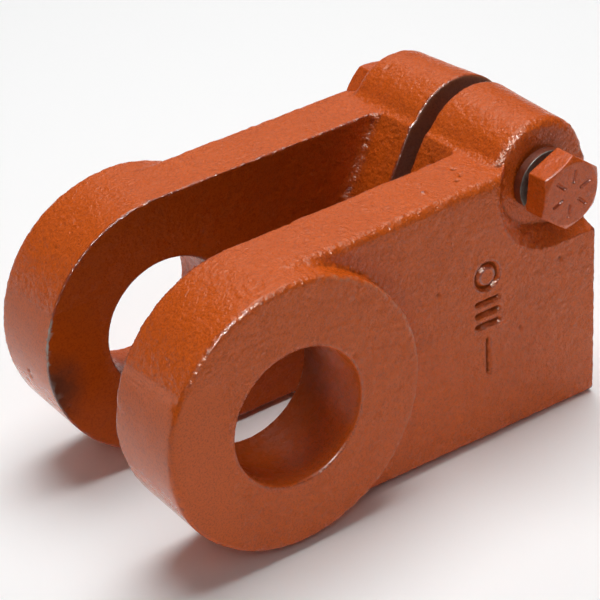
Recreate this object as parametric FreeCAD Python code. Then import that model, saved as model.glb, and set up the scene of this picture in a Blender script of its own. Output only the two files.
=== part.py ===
import FreeCAD, Part
import math
import os

# Rod clevis with a split, pinch-bolted hub. Lengths in millimetres.
# Origin: middle of the pin bore. +X runs to the rod end, +Y to the nut, -Y to the bolt head, +Z up.
# The casting is the same on both sides of y = 0. Ears, arms and pocket are also the same above and
# below z = 0, but the pinch bolt's barrel, its recesses and the slot are on top only.

# Ears, arms and block of the casting
PIN_BORE_RADIUS = 13.1
EAR_RADIUS = 26.0
REAR_HALF_HEIGHT = 27.6           # the arms and block rise gently from the ears to this
REAR_TOP_Z = 20.0                 # top of the rear face beside the barrel
EAR_HALF_WIDTH = 29.4             # out to the boss faces
ARM_HALF_WIDTH = 24.9             # out to the flat sides of arms and block
GAP_HALF_WIDTH = 11.85
REAR_FACE_X = 71.5
BOSS_RIM_FILLET = 1.1
ARM_EDGE_FILLET = 1.8
BORE_MOUTH_CHAMFER = 0.3

# Pocket between the ears: its end wall is a blunt prow that leans back above and below z = 0
PROW_TIP_X = 36.0
PROW_LEAN_DEGREES = 28.5
PROW_NOSE_RADIUS = 8.0
POCKET_CORNER_RADIUS = 2.2

# Threaded rod bore along X, and the saw slot that splits the block above it
ROD_BORE_RADIUS = 11.7            # minor radius of a 1 in - 14 thread
ROD_BORE_CHAMFER = 1.2
SLOT_HALF_WIDTH = 2.0

# Pinch bolt's barrel on top of the block, and the cast recesses at its two ends.
# The crown is stated at the middle and at the ends: the casting's draft makes it smaller there.
BOLT_X = 60.2
BOLT_Z = 22.2
CROWN_MIDDLE = (61.4, 21.7)       # centre in X and Z
CROWN_MIDDLE_RADIUS = 12.1
CROWN_END = (60.7, 22.2)
CROWN_END_RADIUS = 10.95
CROWN_BLEND_RADIUS = 4.0
CROWN_FOOT_Z = 26.9               # height at which the front blend leaves the block
BARREL_FOOT_Z = 11.0
BARREL_END_Y = 21.8
BARREL_END_FILLET = 2.0
RECESS_FLOOR_CENTRE = (60.7, 22.2)
RECESS_FLOOR_RADIUS = 9.4
RECESS_FLOOR_REAR_Z = 9.8         # height of the recess's lower edge at the rear face
RECESS_RIM_CENTRE = (61.7, 22.0)
RECESS_RIM_RADIUS = 13.3
RECESS_RIM_REAR_Z = 8.7
BOLT_HOLE_RADIUS = 4.4

# Fasteners: 5/16 in - 18 hex cap screw, 57 mm long, with its split washer and nut
BOLT_RADIUS = 3.97
THREAD_RADIUS = 3.93
BOLT_LENGTH = 57.15
TIP_CHAMFER = 0.9
HEX_ACROSS_FLATS = 12.5
HEAD_HEIGHT = 5.0
HEAD_TURN_DEGREES = 83.5          # angle of one corner of the head, from +X towards +Z
GRADE_LINES = 6
GRADE_LINE_INNER = 2.0
GRADE_LINE_OUTER = 4.7
GRADE_LINE_WIDTH = 0.6
GRADE_LINE_DEPTH = 0.35
GRADE_LINE_TURN_DEGREES = 18.0
NUT_HEIGHT = 6.75
NUT_BORE_RADIUS = 4.0
NUT_TURN_DEGREES = 113.0
CORNER_CUT_DEGREES = 30.0

WASHER_INNER_RADIUS = 4.2
WASHER_OUTER_RADIUS = 6.1
WASHER_THICKNESS = 1.9
WASHER_LIFT = 2.05                # how far the free coil climbs from one cut end to the other
WASHER_GAP_DEGREES = 14.0
WASHER_CUT_DEGREES = 222.0        # where the cut is, from +X towards +Z
SEAT_CLEARANCE = 0.05             # left between a fastener and what it bears on

HEAD_SEAT_Y = -(BARREL_END_Y + WASHER_THICKNESS + WASHER_LIFT + 2 * SEAT_CLEARANCE)
NUT_SEAT_Y = BARREL_END_Y + SEAT_CLEARANCE
CUT_REACH = 60.0                  # how far cutting tools run past the part


def point(x, y, z):
    return FreeCAD.Vector(x, y, z)


ORIGIN = point(0, 0, 0)
AXIS_X = point(1, 0, 0)
AXIS_Y = point(0, 1, 0)


def box_between(low, high):
    """Box from its lowest corner to its highest corner."""
    size = point(*high) - point(*low)
    return Part.makeBox(size.x, size.y, size.z, point(*low))


def cylinder_along_y(x, z, radius, y_low, y_high):
    return Part.makeCylinder(radius, y_high - y_low, point(x, y_low, z), AXIS_Y)


def cone_along_y(x, z, radius_low, radius_high, y_low, y_high):
    return Part.makeCone(radius_low, radius_high, y_high - y_low, point(x, y_low, z), AXIS_Y)


def plate_along_y(edges, y_low, y_high):
    """Closed outline in the XZ plane, pushed out from y_low to y_high."""
    face = Part.Face(Part.Wire(edges))
    face.translate(point(0, y_low, 0))
    return face.extrude(point(0, y_high - y_low, 0))


def line(start, end):
    return Part.LineSegment(point(start[0], 0, start[1]), point(end[0], 0, end[1])).toShape()


def arc(start, middle, end):
    corners = [point(x, 0, z) for x, z in (start, middle, end)]
    return Part.Arc(*corners).toShape()


def on_circle(centre, radius, degrees):
    angle = math.radians(degrees)
    return (centre[0] + radius * math.cos(angle), centre[1] + radius * math.sin(angle))


def mirrored_y(shape):
    return shape.mirror(ORIGIN, AXIS_Y)


def both_sides(shape):
    return [shape, mirrored_y(shape)]


def fillet_where(shape, radius, wanted):
    """Rounds the edges whose middle point passes the test."""
    edges = []
    for edge in shape.Edges:
        middle = edge.valueAt((edge.FirstParameter + edge.LastParameter) / 2)
        if wanted(middle, edge):
            edges.append(edge)
    return shape.makeFillet(radius, edges)


def near(value, target, tolerance=0.02):
    return abs(value - target) < tolerance


# ---------------------------------------------------------------- casting


def arm_block():
    """Round-nosed block with rounded long edges, which the pocket later divides into two arms.

    Its top falls away behind the bolt, where the barrel alone makes the outline.
    """
    to_corner = math.hypot(REAR_FACE_X, REAR_HALF_HEIGHT)
    touch_angle = math.atan2(REAR_HALF_HEIGHT, REAR_FACE_X) + math.acos(EAR_RADIUS / to_corner)
    top_touch = (EAR_RADIUS * math.cos(touch_angle), EAR_RADIUS * math.sin(touch_angle))
    low_touch = (top_touch[0], -top_touch[1])
    rise = (REAR_HALF_HEIGHT - top_touch[1]) / (REAR_FACE_X - top_touch[0])
    under_crown = (BOLT_X, top_touch[1] + rise * (BOLT_X - top_touch[0]))
    top_corner = (REAR_FACE_X, REAR_TOP_Z)
    low_corner = (REAR_FACE_X, -REAR_HALF_HEIGHT)
    outline = [
        arc(low_touch, (-EAR_RADIUS, 0), top_touch),
        line(top_touch, under_crown),
        line(under_crown, top_corner),
        line(top_corner, low_corner),
        line(low_corner, low_touch),
    ]
    block = plate_along_y(outline, -ARM_HALF_WIDTH, ARM_HALF_WIDTH)

    def side_edge(middle, edge):
        return near(abs(middle.y), ARM_HALF_WIDTH) and middle.x < REAR_FACE_X - 1

    return fillet_where(block, ARM_EDGE_FILLET, side_edge)


def ear_bosses():
    """Drum as wide as the ears: it stands out from both sides of the arms as their bosses."""
    drum = cylinder_along_y(0, 0, EAR_RADIUS, -EAR_HALF_WIDTH, EAR_HALF_WIDTH)

    def rim(middle, edge):
        return near(abs(middle.y), EAR_HALF_WIDTH)

    return fillet_where(drum, BOSS_RIM_FILLET, rim)


def crown_outline(centre, radius, y):
    """Section of the bolt's barrel: front blend, round crown, and a flat cut at the rear."""
    x, z = centre
    blend_z = CROWN_FOOT_Z + CROWN_BLEND_RADIUS
    blend_rise = blend_z - z
    blend_run = math.sqrt((radius + CROWN_BLEND_RADIUS) ** 2 - blend_rise ** 2)
    blend_centre = (x - blend_run, blend_z)
    touch_degrees = math.degrees(math.atan2(blend_rise, -blend_run))
    rear_degrees = math.degrees(math.acos((REAR_FACE_X - x) / radius))
    blend_start = on_circle(blend_centre, CROWN_BLEND_RADIUS, -90)
    blend_middle = on_circle(blend_centre, CROWN_BLEND_RADIUS, (touch_degrees - 180 - 90) / 2)
    blend_end = on_circle(centre, radius, touch_degrees)
    crown = on_circle(centre, radius, (touch_degrees + rear_degrees) / 2)
    rear = on_circle(centre, radius, rear_degrees)
    outline = Part.Wire([
        arc(blend_start, blend_middle, blend_end),
        arc(blend_end, crown, rear),
        line(rear, (rear[0], BARREL_FOOT_Z)),
        line((rear[0], BARREL_FOOT_Z), (blend_start[0], BARREL_FOOT_Z)),
        line((blend_start[0], BARREL_FOOT_Z), blend_start),
    ])
    outline.translate(point(0, y, 0))
    return outline


def bolt_barrel():
    """Half a barrel round the pinch bolt, from the middle of the slot to the head's end."""
    middle = crown_outline(CROWN_MIDDLE, CROWN_MIDDLE_RADIUS, 0)
    end = crown_outline(CROWN_END, CROWN_END_RADIUS, -BARREL_END_Y)
    barrel = Part.makeLoft([middle, end], True, True)

    def at_end_above_block(middle, edge):
        return near(middle.y, -BARREL_END_Y) and middle.z > CROWN_FOOT_Z + 0.1

    return fillet_where(barrel, BARREL_END_FILLET, at_end_above_block)


def recess_outline(centre, radius, rear_z, y):
    """Round-ended section of a recess, open at the top and to the rear."""
    beyond_x = REAR_FACE_X + 0.01
    run = beyond_x - centre[0]
    drop = rear_z - centre[1]
    touch = math.atan2(drop, run) - math.acos(radius / math.hypot(run, drop))
    touch_degrees = math.degrees(touch)
    low = on_circle(centre, radius, touch_degrees)
    front = on_circle(centre, radius, (touch_degrees + 360 + 90) / 2)
    top = on_circle(centre, radius, 90)
    outline = Part.Wire([
        arc(top, front, low),
        line(low, (beyond_x, rear_z)),
        line((beyond_x, rear_z), (beyond_x, top[1])),
        line((beyond_x, top[1]), top),
    ])
    outline.translate(point(0, y, 0))
    return outline


def recess():
    """Flared scoop in one side of the block that makes room for a bolt head or a nut."""
    depth = ARM_HALF_WIDTH - BARREL_END_Y
    past = (depth + 1) / depth

    def outwards(floor_value, rim_value):
        return floor_value + past * (rim_value - floor_value)

    floor = recess_outline(RECESS_FLOOR_CENTRE, RECESS_FLOOR_RADIUS, RECESS_FLOOR_REAR_Z, -BARREL_END_Y)
    mouth_centre = [outwards(*pair) for pair in zip(RECESS_FLOOR_CENTRE, RECESS_RIM_CENTRE)]
    mouth_radius = outwards(RECESS_FLOOR_RADIUS, RECESS_RIM_RADIUS)
    mouth_rear_z = outwards(RECESS_FLOOR_REAR_Z, RECESS_RIM_REAR_Z)
    mouth = recess_outline(mouth_centre, mouth_radius, mouth_rear_z, -ARM_HALF_WIDTH - 1)
    return Part.makeLoft([floor, mouth], True, True)


def pocket():
    """Space between the ears, closed at the rear by a blunt prow."""
    lean = math.tan(math.radians(PROW_LEAN_DEGREES))
    half_turn = math.radians(90 - PROW_LEAN_DEGREES)
    nose_centre_x = PROW_TIP_X + PROW_NOSE_RADIUS
    touch_x = nose_centre_x - PROW_NOSE_RADIUS * math.sin(half_turn)
    touch_z = PROW_NOSE_RADIUS * math.cos(half_turn)
    end_x = touch_x + lean * (CUT_REACH - touch_z)
    outline = [
        line((-CUT_REACH, -CUT_REACH), (end_x, -CUT_REACH)),
        line((end_x, -CUT_REACH), (touch_x, -touch_z)),
        arc((touch_x, -touch_z), (PROW_TIP_X, 0), (touch_x, touch_z)),
        line((touch_x, touch_z), (end_x, CUT_REACH)),
        line((end_x, CUT_REACH), (-CUT_REACH, CUT_REACH)),
        line((-CUT_REACH, CUT_REACH), (-CUT_REACH, -CUT_REACH)),
    ]
    space = plate_along_y(outline, -GAP_HALF_WIDTH, GAP_HALF_WIDTH)

    def along_prow(middle, edge):
        return near(abs(middle.y), GAP_HALF_WIDTH) and middle.x > 0 and abs(middle.z) < CUT_REACH - 1

    return fillet_where(space, POCKET_CORNER_RADIUS, along_prow)


def rod_bore():
    """Tapping-size bore from the prow to the rear face, with a lead-in chamfer."""
    bore = Part.makeCylinder(ROD_BORE_RADIUS, REAR_FACE_X, point(PROW_TIP_X - 5, 0, 0), AXIS_X)
    lead_in = Part.makeCone(
        ROD_BORE_RADIUS,
        ROD_BORE_RADIUS + 2 * ROD_BORE_CHAMFER,
        2 * ROD_BORE_CHAMFER,
        point(REAR_FACE_X - ROD_BORE_CHAMFER, 0, 0),
        AXIS_X,
    )
    return bore.fuse(lead_in)


def pinch_slot():
    """Saw cut that splits barrel and block down to the rod bore."""
    return box_between((PROW_TIP_X - 5, -SLOT_HALF_WIDTH, 0), (CUT_REACH * 2, SLOT_HALF_WIDTH, CUT_REACH))


def pin_bore():
    """Pin bore through both ears, with a small chamfer at its four mouths."""
    tools = [cylinder_along_y(0, 0, PIN_BORE_RADIUS, -CUT_REACH, CUT_REACH)]
    wide = PIN_BORE_RADIUS + 2 * BORE_MOUTH_CHAMFER
    for face_y, outward in ((EAR_HALF_WIDTH, 1), (GAP_HALF_WIDTH, -1)):
        start = face_y - outward * BORE_MOUTH_CHAMFER
        mouth = Part.makeCone(
            PIN_BORE_RADIUS, wide, 2 * BORE_MOUTH_CHAMFER, point(0, start, 0), AXIS_Y * outward
        )
        tools += both_sides(mouth)
    return tools


def clevis_body():
    """One iron casting: two ears with bosses, a block with the rod bore, and the split barrel."""
    body = arm_block().fuse(ear_bosses()).removeSplitter()
    body = body.cut(both_sides(recess()))
    body = body.fuse(both_sides(bolt_barrel())).removeSplitter()
    body = body.cut([pocket(), rod_bore(), pinch_slot()] + pin_bore())
    body = body.cut(cylinder_along_y(BOLT_X, BOLT_Z, BOLT_HOLE_RADIUS, -CUT_REACH, CUT_REACH))
    return body.removeSplitter()


# ---------------------------------------------------------------- fasteners


def hexagon_along_y(y_low, y_high, turn_degrees):
    """Hexagonal prism on the bolt's axis."""
    corner_radius = HEX_ACROSS_FLATS / 2 / math.cos(math.radians(30))
    corners = [on_circle((BOLT_X, BOLT_Z), corner_radius, turn_degrees + 60 * i) for i in range(6)]
    sides = [line(corners[i], corners[(i + 1) % 6]) for i in range(6)]
    return plate_along_y(sides, y_low, y_high)


def corner_cutter(y_low, y_high, ends):
    """Round bar that trims a hexagon's corners to a cone at each end named in ends."""
    corner_radius = HEX_ACROSS_FLATS / 2 / math.cos(math.radians(30))
    flat_radius = HEX_ACROSS_FLATS / 2 * 0.96
    reach = corner_radius + 1 - flat_radius
    slope = reach * math.tan(math.radians(CORNER_CUT_DEGREES))
    low = y_low + slope if "low" in ends else y_low
    high = y_high - slope if "high" in ends else y_high
    bar = cylinder_along_y(BOLT_X, BOLT_Z, flat_radius + reach, low, high)
    if "low" in ends:
        bar = bar.fuse(cone_along_y(BOLT_X, BOLT_Z, flat_radius, flat_radius + reach, y_low, low))
    if "high" in ends:
        bar = bar.fuse(cone_along_y(BOLT_X, BOLT_Z, flat_radius + reach, flat_radius, high, y_high))
    return bar.removeSplitter()


def grade_lines(face_y):
    """Short radial strokes struck into the top of the head."""
    strokes = []
    for index in range(GRADE_LINES):
        stroke = box_between(
            (BOLT_X + GRADE_LINE_INNER, face_y - 1, BOLT_Z - GRADE_LINE_WIDTH / 2),
            (BOLT_X + GRADE_LINE_OUTER, face_y + GRADE_LINE_DEPTH, BOLT_Z + GRADE_LINE_WIDTH / 2),
        )
        angle = GRADE_LINE_TURN_DEGREES + 360 / GRADE_LINES * index
        stroke.rotate(point(BOLT_X, 0, BOLT_Z), AXIS_Y, -angle)
        strokes.append(stroke)
    return strokes


def pinch_bolt():
    """Hex cap screw: chamfered head with its grade lines, plain shank, threaded end."""
    face_y = HEAD_SEAT_Y - HEAD_HEIGHT
    tip_y = HEAD_SEAT_Y + BOLT_LENGTH
    head = hexagon_along_y(face_y, HEAD_SEAT_Y, HEAD_TURN_DEGREES)
    head = head.common(corner_cutter(face_y, HEAD_SEAT_Y, ["low"]))
    head = head.cut(grade_lines(face_y))
    thread_start_y = SLOT_HALF_WIDTH + 4
    shank = cylinder_along_y(BOLT_X, BOLT_Z, BOLT_RADIUS, HEAD_SEAT_Y, thread_start_y)
    thread = cylinder_along_y(BOLT_X, BOLT_Z, THREAD_RADIUS, thread_start_y, tip_y - TIP_CHAMFER)
    tip = cone_along_y(BOLT_X, BOLT_Z, THREAD_RADIUS, THREAD_RADIUS - TIP_CHAMFER, tip_y - TIP_CHAMFER, tip_y)
    return head.fuse([shank, thread, tip]).removeSplitter()


def hex_nut():
    """Plain nut, chamfered on both faces."""
    top_y = NUT_SEAT_Y + NUT_HEIGHT
    nut = hexagon_along_y(NUT_SEAT_Y, top_y, NUT_TURN_DEGREES)
    nut = nut.common(corner_cutter(NUT_SEAT_Y, top_y, ["low", "high"]))
    return nut.cut(cylinder_along_y(BOLT_X, BOLT_Z, NUT_BORE_RADIUS, NUT_SEAT_Y - 1, top_y + 1))


def lock_washer():
    """Split spring washer in its free state: one left-hand turn of square wire along the bolt."""
    turn = 360 - WASHER_GAP_DEGREES
    pitch = WASHER_LIFT * 360 / turn
    middle_radius = (WASHER_INNER_RADIUS + WASHER_OUTER_RADIUS) / 2
    path = Part.Wire(Part.makeHelix(pitch, WASHER_LIFT, middle_radius).Edges)
    half = WASHER_THICKNESS / 2
    corners = [
        point(WASHER_INNER_RADIUS, 0, -half),
        point(WASHER_OUTER_RADIUS, 0, -half),
        point(WASHER_OUTER_RADIUS, 0, half),
        point(WASHER_INNER_RADIUS, 0, half),
    ]
    section = Part.makePolygon(corners + corners[:1])
    coil = path.makePipeShell([section], True, True).mirror(ORIGIN, AXIS_X)
    coil.rotate(ORIGIN, point(0, 0, 1), WASHER_CUT_DEGREES - WASHER_GAP_DEGREES / 2 - 180)
    coil.rotate(ORIGIN, AXIS_X, 90)
    coil.translate(point(BOLT_X, -BARREL_END_Y - SEAT_CLEARANCE - half, BOLT_Z))
    return coil


def write_parts():
    os.makedirs("parts", exist_ok=True)
    makers = [clevis_body, pinch_bolt, lock_washer, hex_nut]
    for make in makers:
        shape = make()
        print(make.__name__, shape.ShapeType, len(shape.Solids), shape.isValid(), round(shape.Volume, 1))
        shape.exportStep(f"parts/{make.__name__}.step")


write_parts()
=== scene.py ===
import math

import bmesh
import bpy
import numpy as np
from mathutils import Matrix, Vector


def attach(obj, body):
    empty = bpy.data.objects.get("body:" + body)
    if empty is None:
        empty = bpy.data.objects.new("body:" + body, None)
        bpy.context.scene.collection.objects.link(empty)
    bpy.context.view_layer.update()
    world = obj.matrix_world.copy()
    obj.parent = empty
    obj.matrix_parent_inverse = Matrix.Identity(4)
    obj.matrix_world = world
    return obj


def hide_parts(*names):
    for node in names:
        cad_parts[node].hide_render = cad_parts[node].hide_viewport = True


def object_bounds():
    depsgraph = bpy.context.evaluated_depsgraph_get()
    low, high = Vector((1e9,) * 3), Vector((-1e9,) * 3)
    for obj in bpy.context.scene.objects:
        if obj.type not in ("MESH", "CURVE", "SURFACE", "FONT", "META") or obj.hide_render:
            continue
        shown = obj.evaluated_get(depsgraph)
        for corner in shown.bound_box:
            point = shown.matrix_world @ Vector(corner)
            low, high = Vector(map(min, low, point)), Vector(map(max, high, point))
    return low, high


# Looks for a painted cast-iron rod clevis. Lengths are in metres, in the CAD's own frame:
# +X to the rod end, +Y to the nut, -Y to the bolt head, +Z up, and the pin bore's middle at the origin.

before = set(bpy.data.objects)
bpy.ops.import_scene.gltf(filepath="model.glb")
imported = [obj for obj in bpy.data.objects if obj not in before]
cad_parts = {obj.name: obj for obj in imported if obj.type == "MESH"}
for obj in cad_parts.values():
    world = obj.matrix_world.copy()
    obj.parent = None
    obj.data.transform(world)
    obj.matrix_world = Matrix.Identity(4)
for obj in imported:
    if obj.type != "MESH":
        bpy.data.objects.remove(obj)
cad_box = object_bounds()

MM = 0.001

# ---------------------------------------------------------------- driving values

CAMERA_PLACE = (-0.15238, -0.26476, 0.18833)
CAMERA_FORWARD = (0.4720, 0.7208, -0.5075)
CAMERA_UP = (0.3388, 0.3831, 0.8593)
CAMERA_SENSOR_MM = 36
CAMERA_LENS_MM = 119.03

EAR_RADIUS = 26.0 * MM
EAR_SIDE_Y = 29.4 * MM            # outer faces of the bosses round the pin bore
ARM_SIDE_Y = 24.9 * MM            # flat sides of the arms and the block
GAP_SIDE_Y = 11.85 * MM           # inner sides of the ears
POCKET_END_X = 49.0 * MM
PIN_BORE_RADIUS = 13.1 * MM
ROD_BORE_RADIUS = 11.7 * MM
ROD_BORE_FROM_X = 36.0 * MM
ROD_THREAD_FROM_X = 30.0 * MM
ROD_THREAD_PITCH = 25.4 / 14 * MM
ROD_THREAD_DEPTH = 0.95 * MM
SLOT_HALF_WIDTH = 2.0 * MM
SLOT_FROM_X = 40.0 * MM
SLOT_FROM_Z = 9.0 * MM
BOLT_X = 60.2 * MM
BOLT_Z = 22.2 * MM
BOLT_PITCH = 25.4 / 18 * MM
BOLT_THREAD_RADIUS = 3.93 * MM
BOLT_THREAD_DEPTH = 0.75 * MM
BOLT_THREAD_START_Y = 6.0 * MM

# Wear and a dark patch: both noses are ground up to a slightly tilted line, and on its inner side the far
# ear has a dark patch and a rubbed edge. Each is full up to its first value and gone at its second.
NOSE_GROUND_X = (-16.0 * MM, -13.0 * MM)
GROUND_TOP_Z = 11.4 * MM
GROUND_TOP_TILT = 0.06            # fall of that line along Y
DARK_PATCH_CENTRE = (-26.5 * MM, GAP_SIDE_Y, -4.5 * MM)
DARK_PATCH_REACH = (4.0 * MM, 12.0 * MM)
RUBBED_CENTRE = (-25.0 * MM, GAP_SIDE_Y, 5.5 * MM)
RUBBED_REACH = (3.5 * MM, 5.5 * MM)

# Foundry mark struck into the near side of the block: a ring, three bars and a long bar, in X and Z
MARK_X = 45.3 * MM
MARK_RING_Z = 8.4 * MM
MARK_RING_RADIUS = 2.4 * MM
MARK_BARS_Z = (3.2 * MM, 0.8 * MM, -1.6 * MM)
MARK_BAR_HALF = 2.5 * MM
MARK_LONG_BAR_Z = (-5.0 * MM, -12.0 * MM)
MARK_STROKE_HALF = 0.40 * MM
MARK_DEPTH = 0.8 * MM
MARK_LIP_HEIGHT = 0.07 * MM
MARK_NO_PITS_X = 6.0 * MM         # no pits this near to the mark in X,
MARK_NO_PITS_Y = -13.05 * MM      # on the near side of this Y

# Softened edges: a fillet at each boss's root, and the slot's and pocket's edges on top of the hub
BOSS_ROOT_REACH = 1.5 * MM
BOSS_ROOT_FROM_X = -2.0 * MM
BOSS_ROOT_PASSES = 40
SLOT_EDGE_REACH = 0.6 * MM
HUB_EDGES_FROM_X = 44.0 * MM
HUB_TOP_Z = 26.0 * MM             # its edges are softened in full above this
HUB_EDGE_PASSES = 8

# Relief of the casting, as layers of height in mm, distance from bump to bump, and seed.
# Each layer is this many waves in random directions, added together.
WAVES_PER_LAYER = 40
FACE_RELIEF = ((0.022, 1.5 * MM, 1), (0.024, 3.5 * MM, 2), (0.035, 13.0 * MM, 3))
EDGE_RELIEF = ((0.055, 1.9 * MM, 4), (0.03, 1.1 * MM, 5))
SUNK_MM = 0.02                    # how far the relief as a whole lies below the CAD surface
GROUND_OFF_MM = 0.07              # how much deeper the noses are ground
MACHINED_SHARE = 0.15             # share of the relief that machined faces take
PIT_COUNT = 70
PIT_SEED = 11
PIT_REACH_MM = (0.35, 0.75)
PIT_DEPTH_MM = (0.12, 0.30)

# Flaws on top of the near arm: a nodule and three pits, each with its X, Y, height and reach.
# They shift only points above the given Z.
ARM_FLAWS_FROM_Z = 20.0 * MM
ARM_FLAWS = (
    (35.4 * MM, -19.7 * MM, 0.45 * MM, 0.55 * MM),
    (44.8 * MM, -16.3 * MM, -0.35 * MM, 0.50 * MM),
    (44.4 * MM, -19.0 * MM, -0.40 * MM, 0.60 * MM),
    (42.6 * MM, -20.1 * MM, -0.35 * MM, 0.50 * MM),
)

# Size of the faces of each remeshed piece, and how many the casting is then thinned to
CASTING_VOXEL = 0.36 * MM
CASTING_FACES = 195000
BOLT_VOXEL = 0.2 * MM
NUT_VOXEL = 0.22 * MM
WASHER_VOXEL = 0.16 * MM

# Colours, as linear red, green and blue
WHITE = (1.0, 1.0, 1.0)
FLOOR_COLOUR = (0.96, 0.96, 0.96)
CASTING_PAINT = (0.585, 0.094, 0.007)
# painted shade: darker colour laid into hollows, creases and grooves
CASTING_HOLLOW_SHADE = (0.12, 0.022, 0.004)
# painted shade: deep red along convex edges
CASTING_EDGE_SHADE = (0.28, 0.030, 0.004)
CASTING_EDGE_GLINT = (1.0, 0.90, 0.76)
# painted shade inside the pocket between the ears
POCKET_SHADE = (0.24, 0.032, 0.001)
# painted reflection: pale line along the boss rims
BOSS_RIM_REFLECTION = (0.70, 0.30, 0.17)
RUBBED_IRON = (0.36, 0.31, 0.25)
# near-black, for the ragged dark patch on the far ear's inner side
DARK_PATCH = (0.028, 0.024, 0.020)
# painted light and shade: the pin bore's paint is lightened, and darkened towards its middle
BORE_PAINT_LIT = (0.66, 0.115, 0.010)
BORE_INSIDE_SHADE = (0.22, 0.036, 0.006)
# sawn slot and rod bore: their own duller paint, darkened further as painted shade
SLOT_PAINT_AND_SHADE = (0.28, 0.070, 0.016)
FASTENER_PAINT = (0.575, 0.090, 0.008)
# painted highlight: pale colour on the fasteners' edges
FASTENER_EDGE_HIGHLIGHT = (0.72, 0.24, 0.12)
# painted shade in the fasteners' hollows
FASTENER_HOLLOW_SHADE = (0.13, 0.024, 0.005)
# painted shade: the enamel darkened for the washer's rim under the bolt head
WASHER_PAINT_SHADED = (0.15, 0.026, 0.005)
WASHER_STEEL_DARK = (0.05, 0.045, 0.036)
WASHER_STEEL_PALE = (0.17, 0.155, 0.13)

# Places of the casting's other materials in its list, after the enamel
BORE_MATERIAL = 1
SLOT_MATERIAL = 2

# The Mix node's sockets, which go by place: its two vectors and their result, and the same for colours
MIX_VECTORS_IN = (4, 5)
MIX_VECTOR_OUT = 1
MIX_COLOURS_IN = (6, 7)
MIX_COLOUR_OUT = 2


# ---------------------------------------------------------------- camera, floor and light


def add_camera():
    """Camera at a three-quarter view, from above the near ear."""
    forward = Vector(CAMERA_FORWARD).normalized()
    right = forward.cross(Vector(CAMERA_UP)).normalized()
    up = right.cross(forward).normalized()
    camera_data = bpy.data.cameras.new("camera")
    camera = bpy.data.objects.new("camera", camera_data)
    bpy.context.scene.collection.objects.link(camera)
    turn = Matrix((right, up, -forward)).transposed()
    camera.matrix_world = Matrix.Translation(Vector(CAMERA_PLACE)) @ turn.to_4x4()
    camera_data.sensor_width = CAMERA_SENSOR_MM
    camera_data.lens = CAMERA_LENS_MM
    camera_data.clip_start = 0.01
    bpy.context.scene.camera = camera


def add_area_light(name, place, target, size, power):
    light_data = bpy.data.lights.new(name, "AREA")
    light_data.shape = "DISK"
    light_data.size = size
    light_data.energy = power
    light = bpy.data.objects.new(name, light_data)
    bpy.context.scene.collection.objects.link(light)
    light.location = place
    light.rotation_euler = (Vector(target) - Vector(place)).to_track_quat("-Z", "Y").to_euler()
    return light


def add_studio():
    """Pale floor, white surroundings, a broad soft light overhead and smaller ones round about."""
    floor_z = cad_box[0][2] - 0.05 * MM
    bpy.ops.mesh.primitive_plane_add(size=6, location=(0, 0, floor_z))
    floor = bpy.context.object
    floor.name = "floor"
    material = bpy.data.materials.new("floor")
    material.use_nodes = True
    shader = material.node_tree.nodes["Principled BSDF"]
    shader.inputs["Base Color"].default_value = (*FLOOR_COLOUR, 1)
    shader.inputs["Roughness"].default_value = 0.7
    floor.data.materials.append(material)

    world = bpy.data.worlds.new("studio")
    bpy.context.scene.world = world
    world.use_nodes = True
    background = world.node_tree.nodes["Background"]
    background.inputs["Color"].default_value = (*WHITE, 1)
    background.inputs["Strength"].default_value = 0.10
    middle = (0.02, 0, 0)
    add_area_light("overhead", (0.11, 0.10, 0.74), middle, size=0.6, power=5.8)
    add_area_light("beside_camera", (-0.30, -0.42, 0.42), middle, size=0.12, power=0.22)
    add_area_light("rear_card", (0.42, 0.66, 0.46), middle, size=0.55, power=0.42)
    add_area_light("left_card", (-0.58, 0.62, -0.03), (0.0, 0.0, -0.03), size=0.30, power=0.30)
    glint = add_area_light("glint", (-0.15, -0.41, 0.50), middle, size=0.21, power=10.5)
    glint.visible_diffuse = False
    bpy.context.scene.view_settings.view_transform = "Standard"


# ---------------------------------------------------------------- material nodes


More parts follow.
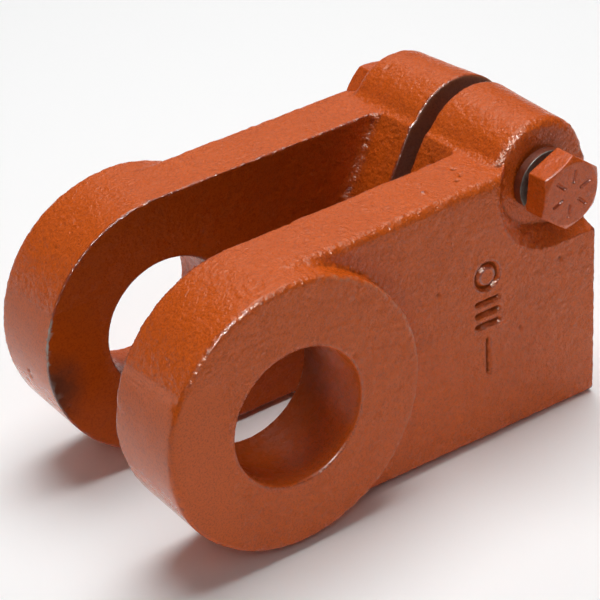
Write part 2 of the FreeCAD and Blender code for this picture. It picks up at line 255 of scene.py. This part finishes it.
class Nodes:
    """Short names for adding and joining shader nodes. A mask is 1 where it applies and 0 elsewhere."""

    def __init__(self, name):
        self.material = bpy.data.materials.new(name)
        self.material.use_nodes = True
        self.tree = self.material.node_tree
        self.shader = self.tree.nodes["Principled BSDF"]
        self.place = self.add("ShaderNodeTexCoord").outputs["Object"]
        self.axes = self.split(self.place)

    def add(self, kind, **settings):
        node = self.tree.nodes.new(kind)
        for key, value in settings.items():
            setattr(node, key, value)
        return node

    def join(self, source, socket):
        self.tree.links.new(source, socket)

    def feed(self, value, socket):
        """Gives a socket a number, a colour or another node's output."""
        if isinstance(value, (int, float)):
            socket.default_value = value
        elif isinstance(value, tuple):
            socket.default_value = (*value, 1)
        else:
            self.join(value, socket)

    def to_shader(self, socket_name, source):
        self.join(source, self.shader.inputs[socket_name])

    def split(self, vector):
        """The X, Y and Z of a vector."""
        node = self.add("ShaderNodeSeparateXYZ")
        self.join(vector, node.inputs[0])
        return node.outputs

    def noise(self, scale, detail, roughness=0.55, stretch=(1, 1, 1)):
        node = self.add("ShaderNodeTexNoise")
        scaled = self.add("ShaderNodeMapping")
        self.join(self.place, scaled.inputs["Vector"])
        scaled.inputs["Scale"].default_value = stretch
        self.join(scaled.outputs[0], node.inputs["Vector"])
        node.inputs["Scale"].default_value = scale
        node.inputs["Detail"].default_value = detail
        node.inputs["Roughness"].default_value = roughness
        return node.outputs["Fac"]

    def ramp(self, source, *stops):
        node = self.add("ShaderNodeValToRGB")
        self.join(source, node.inputs["Fac"])
        ramp = node.color_ramp
        while len(ramp.elements) < len(stops):
            ramp.elements.new(0.5)
        for element, (position, colour) in zip(ramp.elements, stops):
            element.position = position
            element.color = (*colour, 1)
        return node.outputs["Color"]

    def mix(self, factor, first, second):
        node = self.add("ShaderNodeMix", data_type="RGBA")
        self.feed(factor, node.inputs["Factor"])
        self.feed(first, node.inputs[MIX_COLOURS_IN[0]])
        self.feed(second, node.inputs[MIX_COLOURS_IN[1]])
        return node.outputs[MIX_COLOUR_OUT]

    def math(self, operation, first, second=0.0):
        node = self.add("ShaderNodeMath", operation=operation)
        self.feed(first, node.inputs[0])
        self.feed(second, node.inputs[1])
        return node.outputs[0]

    def unsigned(self, value):
        return self.math("ABSOLUTE", value)

    def plus(self, first, second):
        return self.math("ADD", first, second)

    def times(self, first, second):
        """Where two masks meet, or a mask or value scaled by a number."""
        return self.math("MULTIPLY", first, second)

    def less(self, value, mask, amount):
        """A value lowered by this amount under a mask."""
        return self.math("SUBTRACT", value, self.times(mask, amount))

    def layer(self, colour, mask, share, above):
        """A colour with another laid over it, this thickly, under a mask."""
        return self.mix(self.times(mask, share), colour, above)

    def rise(self, value, low, high):
        """0 at low and 1 at high, smooth between. Falls instead where low is above high."""
        node = self.add("ShaderNodeMapRange", interpolation_type="SMOOTHSTEP")
        self.join(value, node.inputs["Value"])
        node.inputs["From Min"].default_value = low
        node.inputs["From Max"].default_value = high
        return node.outputs["Result"]

    def distance_from(self, place):
        node = self.add("ShaderNodeVectorMath", operation="DISTANCE")
        self.join(self.place, node.inputs[0])
        node.inputs[1].default_value = place
        return node.outputs["Value"]

    def edge_mask(self, low, high):
        """A mask of convex edges, or of hollows where low is above high. A flat face measures 0.5."""
        geometry = self.add("ShaderNodeNewGeometry")
        return self.rise(geometry.outputs["Pointiness"], low, high)

    def facing_y(self):
        """1 where the surface faces straight along +Y, and -1 where it faces along -Y."""
        geometry = self.add("ShaderNodeNewGeometry")
        return self.split(geometry.outputs["Normal"])["Y"]

    def on_bend(self):
        """0 where the surface faces straight along Y, and 1 where it bends away from that."""
        return self.rise(self.unsigned(self.facing_y()), 0.9985, 0.995)

    def bump(self, height, distance, strength, below=None):
        node = self.add("ShaderNodeBump")
        self.join(height, node.inputs["Height"])
        node.inputs["Distance"].default_value = distance
        node.inputs["Strength"].default_value = strength
        if below is not None:
            self.join(below, node.inputs["Normal"])
        return node.outputs["Normal"]

    def mix_normals(self, factor, first, second):
        node = self.add("ShaderNodeMix", data_type="VECTOR")
        self.join(factor, node.inputs["Factor"])
        self.join(first, node.inputs[MIX_VECTORS_IN[0]])
        self.join(second, node.inputs[MIX_VECTORS_IN[1]])
        return node.outputs[MIX_VECTOR_OUT]


def shade(tint, red, green, blue):
    """A colour with each of its channels scaled."""
    return (tint[0] * red, tint[1] * green, tint[2] * blue)


def paint_colours(nodes, tint):
    """Orange-brown enamel, a little uneven in how thickly it lies, with fine dark grain."""
    thin = shade(tint, 0.94, 0.90, 0.85)
    thick = shade(tint, 1.05, 1.06, 1.1)
    base = nodes.ramp(nodes.noise(60, 2), (0.35, thin), (0.65, thick))
    dark = shade(tint, 0.55, 0.46, 0.4)
    bright = shade(tint, 1.12, 1.15, 1.1)
    grain = nodes.ramp(nodes.noise(2800, 2, 0.6), (0.34, dark), (0.50, tint), (0.66, bright))
    return nodes.mix(0.6, base, grain)


def uneven_roughness(nodes, scale, spread, least):
    """Roughness that wanders between its least value and that plus the spread."""
    gloss = nodes.rise(nodes.noise(scale, 3), 0.30, 0.70)
    return nodes.plus(nodes.times(gloss, spread), least)


def dark_patch_mask(nodes):
    """A ragged dark patch on the inner side of the far ear."""
    ragged = nodes.plus(nodes.distance_from(DARK_PATCH_CENTRE), nodes.times(nodes.noise(350, 4), 4 * MM))
    near_centre = nodes.rise(ragged, DARK_PATCH_REACH[1], DARK_PATCH_REACH[0])
    inner_side = nodes.rise(nodes.axes["Y"], GAP_SIDE_Y + MM, GAP_SIDE_Y + 0.4 * MM)
    return nodes.times(near_centre, inner_side)


def boss_rim_mask(nodes):
    """The outer rim of each boss towards the hub, clear of the pin bore's mouth, where a pale painted
    reflection lies.
    """
    towards_hub = nodes.rise(nodes.axes["X"], 3 * MM, 10 * MM)
    on_boss = nodes.rise(nodes.unsigned(nodes.axes["Y"]), ARM_SIDE_Y + 2.4 * MM, ARM_SIDE_Y + 3.2 * MM)
    off_bore = nodes.rise(nodes.distance_from((0, 0, 0)), 34 * MM, 36 * MM)
    return nodes.times(nodes.times(towards_hub, on_boss), off_bore)


def pocket_mask(nodes):
    """The inner sides of the ears and arms, fading out towards the pocket's end, where painted shade
    darkens the pocket.
    """
    inner_sides = nodes.rise(nodes.unsigned(nodes.axes["Y"]), GAP_SIDE_Y + 0.3 * MM, GAP_SIDE_Y + 0.1 * MM)
    below_arm_top = nodes.rise(nodes.axes["Z"], EAR_RADIUS + MM, EAR_RADIUS)
    before_end = nodes.rise(nodes.axes["X"], POCKET_END_X, POCKET_END_X - 12 * MM)
    return nodes.times(nodes.times(inner_sides, below_arm_top), before_end)


def nose_mask(nodes):
    """The part of each nose that is ground smooth."""
    fall = nodes.times(nodes.axes["Y"], GROUND_TOP_TILT)
    level = nodes.plus(nodes.axes["Z"], fall)
    in_front = nodes.rise(nodes.axes["X"], NOSE_GROUND_X[1], NOSE_GROUND_X[0])
    return nodes.times(in_front, nodes.rise(level, GROUND_TOP_Z + 0.25 * MM, GROUND_TOP_Z))


def painted_casting():
    """Glossy enamel over sand-cast iron: grainy, with painted shade in the hollows, ground smooth on the
    noses.
    """
    nodes = Nodes("painted_casting")
    hollow = nodes.edge_mask(0.492, 0.455)
    edge = nodes.times(nodes.edge_mask(0.512, 0.55), nodes.on_bend())
    pocket = pocket_mask(nodes)
    nose = nose_mask(nodes)
    rubbed = nodes.rise(nodes.distance_from(RUBBED_CENTRE), RUBBED_REACH[1], RUBBED_REACH[0])

    colour = paint_colours(nodes, CASTING_PAINT)
    # painted shade: hollows, creases and the mark's grooves darkened
    colour = nodes.layer(colour, hollow, 0.75, CASTING_HOLLOW_SHADE)
    # painted shade: convex edges darkened to a deep red band
    colour = nodes.layer(colour, edge, 0.8, CASTING_EDGE_SHADE)
    # painted shade: the pocket's inner sides darkened, as if shaded by the ears
    colour = nodes.layer(colour, pocket, 0.45, POCKET_SHADE)
    # a ragged near-black patch on the far ear's inner side, low on its nose
    colour = nodes.layer(colour, dark_patch_mask(nodes), 0.72, DARK_PATCH)
    # painted reflection: a pale line of light along each boss's rim
    colour = nodes.mix(nodes.times(edge, boss_rim_mask(nodes)), colour, BOSS_RIM_REFLECTION)
    colour = nodes.mix(nodes.times(edge, rubbed), colour, RUBBED_IRON)
    nodes.to_shader("Base Color", colour)

    rough = uneven_roughness(nodes, 300, 0.14, 0.19)
    rough = nodes.less(rough, edge, 0.10)
    nodes.to_shader("Roughness", nodes.less(rough, nose, 0.09))
    shine = nodes.plus(nodes.times(edge, 0.64), 0.34)
    # the painted shade in the pocket and in the hollows also dulls their gloss
    shine = nodes.less(shine, pocket, 0.24)
    nodes.to_shader("Specular IOR Level", nodes.times(shine, nodes.less(1.0, hollow, 0.9)))
    nodes.to_shader("Specular Tint", nodes.mix(edge, CASTING_EDGE_GLINT, WHITE))

    sand = nodes.bump(nodes.noise(2600, 2, 0.6), 0.14 * MM, 0.7)
    grain = nodes.bump(nodes.noise(1100, 2, 0.5), 0.4 * MM, 0.7, sand)
    waves = nodes.bump(nodes.noise(420, 2), 0.5 * MM, 0.4, grain)
    streaks = nodes.bump(nodes.noise(2400, 2, 0.5, (1, 0.05, 1)), 0.1 * MM, 0.6)
    nodes.to_shader("Normal", nodes.mix_normals(nodes.times(nose, 0.8), waves, streaks))
    return nodes.material


def machined_paint(name, tint, roughness, inner_shade=None):
    """Thin paint over a bored or sawn face; if an inner shade is given, painted shade darkens it towards
    the middle.
    """
    nodes = Nodes(name)
    colour = paint_colours(nodes, tint)
    if inner_shade is not None:
        outwards = nodes.rise(nodes.unsigned(nodes.axes["Y"]), GAP_SIDE_Y, EAR_SIDE_Y - 3 * MM)
        # painted shade towards the middle
        colour = nodes.mix(outwards, paint_colours(nodes, inner_shade), colour)
    nodes.to_shader("Base Color", colour)
    nodes.to_shader("Roughness", uneven_roughness(nodes, 500, 0.12, roughness))
    nodes.shader.inputs["Specular IOR Level"].default_value = 0.3
    nodes.to_shader("Normal", nodes.bump(nodes.noise(1400, 3), 0.2 * MM, 0.5))
    return nodes.material


def painted_fastener():
    """The same enamel over a smooth forged fastener, with pale painted highlight on the edges and painted
    shade in the hollows.
    """
    nodes = Nodes("painted_fastener")
    colour = paint_colours(nodes, FASTENER_PAINT)
    # painted highlight: the edges paled
    colour = nodes.layer(colour, nodes.edge_mask(0.53, 0.62), 0.6, FASTENER_EDGE_HIGHLIGHT)
    # painted shade: the hollows darkened
    colour = nodes.layer(colour, nodes.edge_mask(0.48, 0.42), 0.7, FASTENER_HOLLOW_SHADE)
    nodes.to_shader("Base Color", colour)
    nodes.to_shader("Roughness", uneven_roughness(nodes, 500, 0.12, 0.20))
    nodes.shader.inputs["Specular IOR Level"].default_value = 0.4
    fine = nodes.bump(nodes.noise(1500, 3), 0.16 * MM, 0.45)
    nodes.to_shader("Normal", nodes.bump(nodes.noise(450, 2), 0.4 * MM, 0.45, fine))
    return nodes.material


def washer_steel():
    """Spring steel painted over on its rim, that paint darkened as painted shade: dark bare metal on the
    side next to the head.
    """
    nodes = Nodes("washer_steel")
    steel = nodes.ramp(nodes.noise(900, 4), (0.3, WASHER_STEEL_DARK), (0.7, WASHER_STEEL_PALE))
    worn = nodes.plus(nodes.facing_y(), nodes.times(nodes.noise(1500, 2), 0.3))
    painted = nodes.rise(worn, -0.25, 0.0)
    # the painted rim is darkened as painted shade
    nodes.to_shader("Base Color", nodes.mix(painted, steel, paint_colours(nodes, WASHER_PAINT_SHADED)))
    nodes.shader.inputs["Metallic"].default_value = 0.15
    nodes.to_shader("Roughness", uneven_roughness(nodes, 600, 0.2, 0.34))
    nodes.to_shader("Normal", nodes.bump(nodes.noise(1400, 3), 0.15 * MM, 0.5))
    return nodes.material


# ---------------------------------------------------------------- mesh tools


def copy_of(node, name):
    """A new object with its own copy of a CAD node's mesh, joined at its seams."""
    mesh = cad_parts[node].data.copy()
    mesh.materials.clear()
    welded = bmesh.new()
    welded.from_mesh(mesh)
    bmesh.ops.remove_doubles(welded, verts=welded.verts, dist=1e-6)
    welded.to_mesh(mesh)
    welded.free()
    piece = bpy.data.objects.new(name, mesh)
    bpy.context.scene.collection.objects.link(piece)
    return piece


def apply_modifiers(piece):
    graph = bpy.context.evaluated_depsgraph_get()
    shaped = bpy.data.meshes.new_from_object(piece.evaluated_get(graph))
    piece.modifiers.clear()
    piece.data = shaped


def remesh(piece, voxel):
    """Even quads of one size, so that edges round off like paint and the faces can take relief."""
    grid = piece.modifiers.new("grid", "REMESH")
    grid.mode = "VOXEL"
    grid.voxel_size = voxel
    apply_modifiers(piece)


def snap_to(piece, target):
    """Puts the remeshed points back on the CAD surface."""
    snap = piece.modifiers.new("snap", "SHRINKWRAP")
    snap.target = target
    snap.wrap_method = "NEAREST_SURFACEPOINT"
    apply_modifiers(piece)


def smooth(piece, passes, weights=None):
    """Evens out a piece's points, or only those with weights, each as much as its weight."""
    soften = piece.modifiers.new("soften", "SMOOTH")
    soften.iterations = passes
    soften.factor = 0.5
    if weights is not None:
        group = piece.vertex_groups.new(name="soften")
        for index in np.flatnonzero(weights > 0.01):
            group.add([int(index)], float(weights[index]), "REPLACE")
        soften.vertex_group = "soften"
    apply_modifiers(piece)
    piece.vertex_groups.clear()


def thin_out(piece, faces):
    """Merges points where the surface is flat, so that no piece is heavier than it needs to be."""
    triangles = sum(len(polygon.vertices) - 2 for polygon in piece.data.polygons)
    thinner = piece.modifiers.new("thinner", "DECIMATE")
    thinner.ratio = min(1.0, faces / triangles)
    apply_modifiers(piece)


def vectors_of(items, field):
    """One vector field of a mesh's vertices or polygons, a row each."""
    values = np.empty(len(items) * 3)
    items.foreach_get(field, values)
    return values.reshape(-1, 3)


def points_of(mesh):
    return vectors_of(mesh.vertices, "co")


def set_points(mesh, places):
    mesh.vertices.foreach_set("co", places.ravel())
    mesh.update()


def push_out(mesh, distances):
    """Moves each point along its normal, outwards where its distance is positive."""
    directions = vectors_of(mesh.vertices, "normal")
    set_points(mesh, points_of(mesh) + directions * distances[:, None])


def smooth_shaded(mesh):
    mesh.polygons.foreach_set("use_smooth", [True] * len(mesh.polygons))


def ramp01(value, low, high):
    """0 at low and 1 at high, smooth between and level beyond. Low may be above high."""
    share = np.clip((value - low) / (high - low), 0, 1)
    return share * share * (3 - 2 * share)


def dome(distance, reach):
    """1 at no distance, falling away smoothly within about this reach."""
    return np.exp(-(distance / reach) ** 2)


def wave_noise(places, size, seed):
    """Smooth random relief from about -1 to 1 with bumps about this far apart."""
    draw = np.random.default_rng(seed)
    directions = draw.normal(size=(WAVES_PER_LAYER, 3))
    directions /= np.linalg.norm(directions, axis=1)[:, None]
    lengths = size * draw.uniform(0.7, 1.5, WAVES_PER_LAYER)
    shifts = draw.uniform(0, 2 * math.pi, WAVES_PER_LAYER)
    total = np.zeros(len(places))
    for direction, length, shift in zip(directions, lengths, shifts):
        total += np.sin(places @ direction * (2 * math.pi / length) + shift)
    return total * math.sqrt(2 / WAVES_PER_LAYER) / 2


def relief_of(places, layers):
    total = np.zeros(len(places))
    for height, size, seed in layers:
        total += height * wave_noise(places, size, seed)
    return total


# ---------------------------------------------------------------- shape of the casting


def in_pin_bore(x, z, margin):
    return np.hypot(x, z) < PIN_BORE_RADIUS + margin


def in_rod_bore(y, z, margin):
    return np.hypot(y, z) < ROD_BORE_RADIUS + margin


def in_slot(x, y, z, margin):
    return (np.abs(y) < SLOT_HALF_WIDTH + margin) & (x > SLOT_FROM_X) & (z > SLOT_FROM_Z)


def is_machined(places):
    """True on the pin bore, the rod bore and the slot."""
    x, y, z = places.T
    return in_pin_bore(x, z, 0.3 * MM) | in_rod_bore(y, z, 0.2 * MM) | in_slot(x, y, z, 0.2 * MM)


def blend_boss_roots(casting):
    """Concave fillet where each boss meets the flat side behind it."""
    x, y, z = points_of(casting.data).T
    from_circle = np.hypot(x, z) - EAR_RADIUS
    from_side = np.abs(y) - ARM_SIDE_Y
    at_root = np.exp(-(from_circle / BOSS_ROOT_REACH) ** 2 - (from_side / BOSS_ROOT_REACH) ** 2)
    smooth(casting, BOSS_ROOT_PASSES, at_root * (x > BOSS_ROOT_FROM_X))


def round_hub_edges(casting):
    """Thick paint rounds the edges of the slot and of the pocket's rear on top of the hub."""
    x, y, z = points_of(casting.data).T
    beside_slot = dome(np.abs(y) - SLOT_HALF_WIDTH, SLOT_EDGE_REACH)
    beside_slot *= ramp01(z, HUB_TOP_Z - 2 * MM, HUB_TOP_Z)
    pocket_rear = ramp01(x, 57 * MM, 53 * MM) * (np.abs(y) < GAP_SIDE_Y)
    pocket_rear *= ramp01(z, HUB_TOP_Z - 1.5 * MM, HUB_TOP_Z)
    weights = np.maximum(beside_slot, 0.3 * pocket_rear)
    smooth(casting, HUB_EDGE_PASSES, weights * (x > HUB_EDGES_FROM_X))


def sand_cast(mesh):
    """Relief of the casting: gently uneven faces, lumpy edges, and noses ground nearly smooth."""
    places = points_of(mesh)
    x, y, z = places.T
    sideways = np.abs(vectors_of(mesh.vertices, "normal")[:, 1])
    on_edge = ramp01(sideways, 0.10, 0.30) * ramp01(sideways, 0.99, 0.93)
    relief = relief_of(places, FACE_RELIEF) + on_edge * relief_of(places, EDGE_RELIEF)
    level = z + GROUND_TOP_TILT * y
    in_front = ramp01(x, NOSE_GROUND_X[1], NOSE_GROUND_X[0])
    ground = in_front * ramp01(level, GROUND_TOP_Z + 0.4 * MM, GROUND_TOP_Z)
    relief = (relief - SUNK_MM) * (1 - 0.8 * ground * (1 - on_edge)) - GROUND_OFF_MM * ground
    relief *= np.where(is_machined(places), MACHINED_SHARE, 1.0)
    push_out(mesh, relief * MM)


def casting_specks(mesh):
    """Small pits that the sand left, anywhere but on the machined faces and the mark."""
    places = points_of(mesh)
    x, y, z = places.T
    draw = np.random.default_rng(PIT_SEED)
    on_mark = (np.abs(x - MARK_X) < MARK_NO_PITS_X) & (y < MARK_NO_PITS_Y)
    chosen = draw.choice(np.flatnonzero(~is_machined(places) & ~on_mark), PIT_COUNT)
    shift = np.zeros(len(places))
    for index in chosen:
        reach = draw.uniform(*PIT_REACH_MM) * MM
        depth = draw.uniform(*PIT_DEPTH_MM) * MM
        shift -= depth * dome(np.linalg.norm(places - places[index], axis=1), reach)
    push_out(mesh, shift)


def arm_flaws(mesh):
    """The nodule and pits on top of the near arm."""
    x, y, z = points_of(mesh).T
    shift = np.zeros(len(x))
    for flaw_x, flaw_y, height, reach in ARM_FLAWS:
        shift += height * dome(np.hypot(x - flaw_x, y - flaw_y), reach)
    push_out(mesh, shift * (z > ARM_FLAWS_FROM_Z))


def from_stroke(x, z, start, end):
    """Distance in the XZ plane from a straight stroke."""
    start, end = np.array(start), np.array(end)
    along = end - start
    share = ((x - start[0]) * along[0] + (z - start[1]) * along[1]) / (along @ along)
    share = np.clip(share, 0, 1)
    return np.hypot(x - start[0] - share * along[0], z - start[1] - share * along[1])


def strike_mark(mesh):
    """Plain foundry mark, struck into the near side of the block."""
    x, y, z = points_of(mesh).T
    distance = np.abs(np.hypot(x - MARK_X, z - MARK_RING_Z) - MARK_RING_RADIUS)
    strokes = [((MARK_X - MARK_BAR_HALF, bar), (MARK_X + MARK_BAR_HALF, bar)) for bar in MARK_BARS_Z]
    strokes.append(((MARK_X, MARK_LONG_BAR_Z[0]), (MARK_X, MARK_LONG_BAR_Z[1])))
    for start, end in strokes:
        distance = np.minimum(distance, from_stroke(x, z, start, end))
    groove = 1 - ramp01(distance, 0.4 * MARK_STROKE_HALF, 1.6 * MARK_STROKE_HALF)
    lip = dome(distance - 2.1 * MARK_STROKE_HALF, 0.6 * MARK_STROKE_HALF)
    on_side = np.abs(y + ARM_SIDE_Y) < 0.4 * MM
    depth = (MARK_DEPTH * groove - MARK_LIP_HEIGHT * lip) * on_side
    set_points(mesh, np.column_stack((x, y + depth, z)))


def thread_shape(phase):
    """0 at a thread's root and 1 at its crest, with small flats, along one turn."""
    from_crest = np.abs((phase + 0.5) % 1.0 - 0.5) * 2
    return 1 - np.clip((from_crest - 0.12) / 0.70, 0, 1)


def cut_rod_thread(mesh):
    """Internal thread, cut outwards from the bore's wall. Right-handed about +X."""
    x, y, z = points_of(mesh).T
    from_axis = np.hypot(y, z)
    phase = x / ROD_THREAD_PITCH - np.arctan2(z, y) / (2 * math.pi)
    wall = 1 - ramp01(np.abs(from_axis - ROD_BORE_RADIUS), 0.15 * MM, 0.4 * MM)
    outwards = ROD_THREAD_DEPTH * (1 - thread_shape(phase)) * wall * (x > ROD_THREAD_FROM_X)
    stretch = 1 + outwards / np.maximum(from_axis, MM)
    set_points(mesh, np.column_stack((x, y * stretch, z * stretch)))


def keep_inside(mesh):
    """Holds the relief inside the CAD's box."""
    set_points(mesh, np.clip(points_of(mesh), cad_box[0], cad_box[1]))


def make_casting():
    casting = copy_of("clevis_body", "casting")
    remesh(casting, CASTING_VOXEL)
    snap_to(casting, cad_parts["clevis_body"])
    blend_boss_roots(casting)
    round_hub_edges(casting)
    smooth(casting, 1)
    sand_cast(casting.data)
    casting_specks(casting.data)
    arm_flaws(casting.data)
    strike_mark(casting.data)
    cut_rod_thread(casting.data)
    keep_inside(casting.data)
    thin_out(casting, CASTING_FACES)
    keep_inside(casting.data)
    smooth_shaded(casting.data)
    return casting


def mark_machined_faces(mesh):
    """Gives the pin bore its material, and the slot and rod bore theirs."""
    x, y, z = vectors_of(mesh.polygons, "center").T
    facing_x = np.abs(vectors_of(mesh.polygons, "normal")[:, 0])
    rod_bore = in_rod_bore(y, z, 1.1 * MM) & (x > ROD_BORE_FROM_X) & (facing_x < 0.8)
    chosen = np.where(rod_bore | in_slot(x, y, z, 0.15 * MM), SLOT_MATERIAL, 0)
    chosen[in_pin_bore(x, z, 0.25 * MM)] = BORE_MATERIAL
    mesh.polygons.foreach_set("material_index", chosen.tolist())


# ---------------------------------------------------------------- shape of the fasteners


def cut_bolt_thread(mesh):
    """External thread on the end of the shank, cut inwards. Right-handed about +Y."""
    places = points_of(mesh)
    x, y, z = places[:, 0] - BOLT_X, places[:, 1], places[:, 2] - BOLT_Z
    from_axis = np.hypot(x, z)
    phase = y / BOLT_PITCH - np.arctan2(x, z) / (2 * math.pi)
    runout = ramp01(y, BOLT_THREAD_START_Y, BOLT_THREAD_START_Y + 2 * BOLT_PITCH)
    wall = ramp01(from_axis, BOLT_THREAD_RADIUS - 1.2 * MM, BOLT_THREAD_RADIUS - 0.3 * MM)
    inwards = BOLT_THREAD_DEPTH * (1 - thread_shape(phase)) * runout * wall
    shrink = 1 - inwards / np.maximum(from_axis, MM)
    set_points(mesh, np.column_stack((BOLT_X + x * shrink, y, BOLT_Z + z * shrink)))


def make_fastener(node, name, voxel, cut=None):
    """A fastener with softened edges, and its thread cut where it has one."""
    piece = copy_of(node, name)
    remesh(piece, voxel)
    snap_to(piece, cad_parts[node])
    smooth(piece, 1)
    if cut is not None:
        cut(piece.data)
    smooth_shaded(piece.data)
    return piece


# ---------------------------------------------------------------- the whole part


def finish_piece(piece, material, body, node):
    piece.data.materials.clear()
    piece.data.materials.append(material)
    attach(piece, body)
    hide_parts(node)


add_camera()
add_studio()
fastener_paint = painted_fastener()
casting = make_casting()
finish_piece(casting, painted_casting(), "clevis", "clevis_body")
# pin bore: painted light brightens its paint, and painted shade darkens it towards the middle
casting.data.materials.append(machined_paint("bore_painted_light_and_shade", BORE_PAINT_LIT, 0.22, BORE_INSIDE_SHADE))
# slot and rod bore: their own duller paint, darkened further as painted shade
casting.data.materials.append(machined_paint("slot_paint_and_shade", SLOT_PAINT_AND_SHADE, 0.45))
mark_machined_faces(casting.data)
bolt = make_fastener("pinch_bolt", "bolt", BOLT_VOXEL, cut_bolt_thread)
finish_piece(bolt, fastener_paint, "bolt", "pinch_bolt")
nut = make_fastener("hex_nut", "nut", NUT_VOXEL)
finish_piece(nut, fastener_paint, "nut", "hex_nut")
washer = make_fastener("lock_washer", "washer", WASHER_VOXEL)
finish_piece(washer, washer_steel(), "washer", "lock_washer")
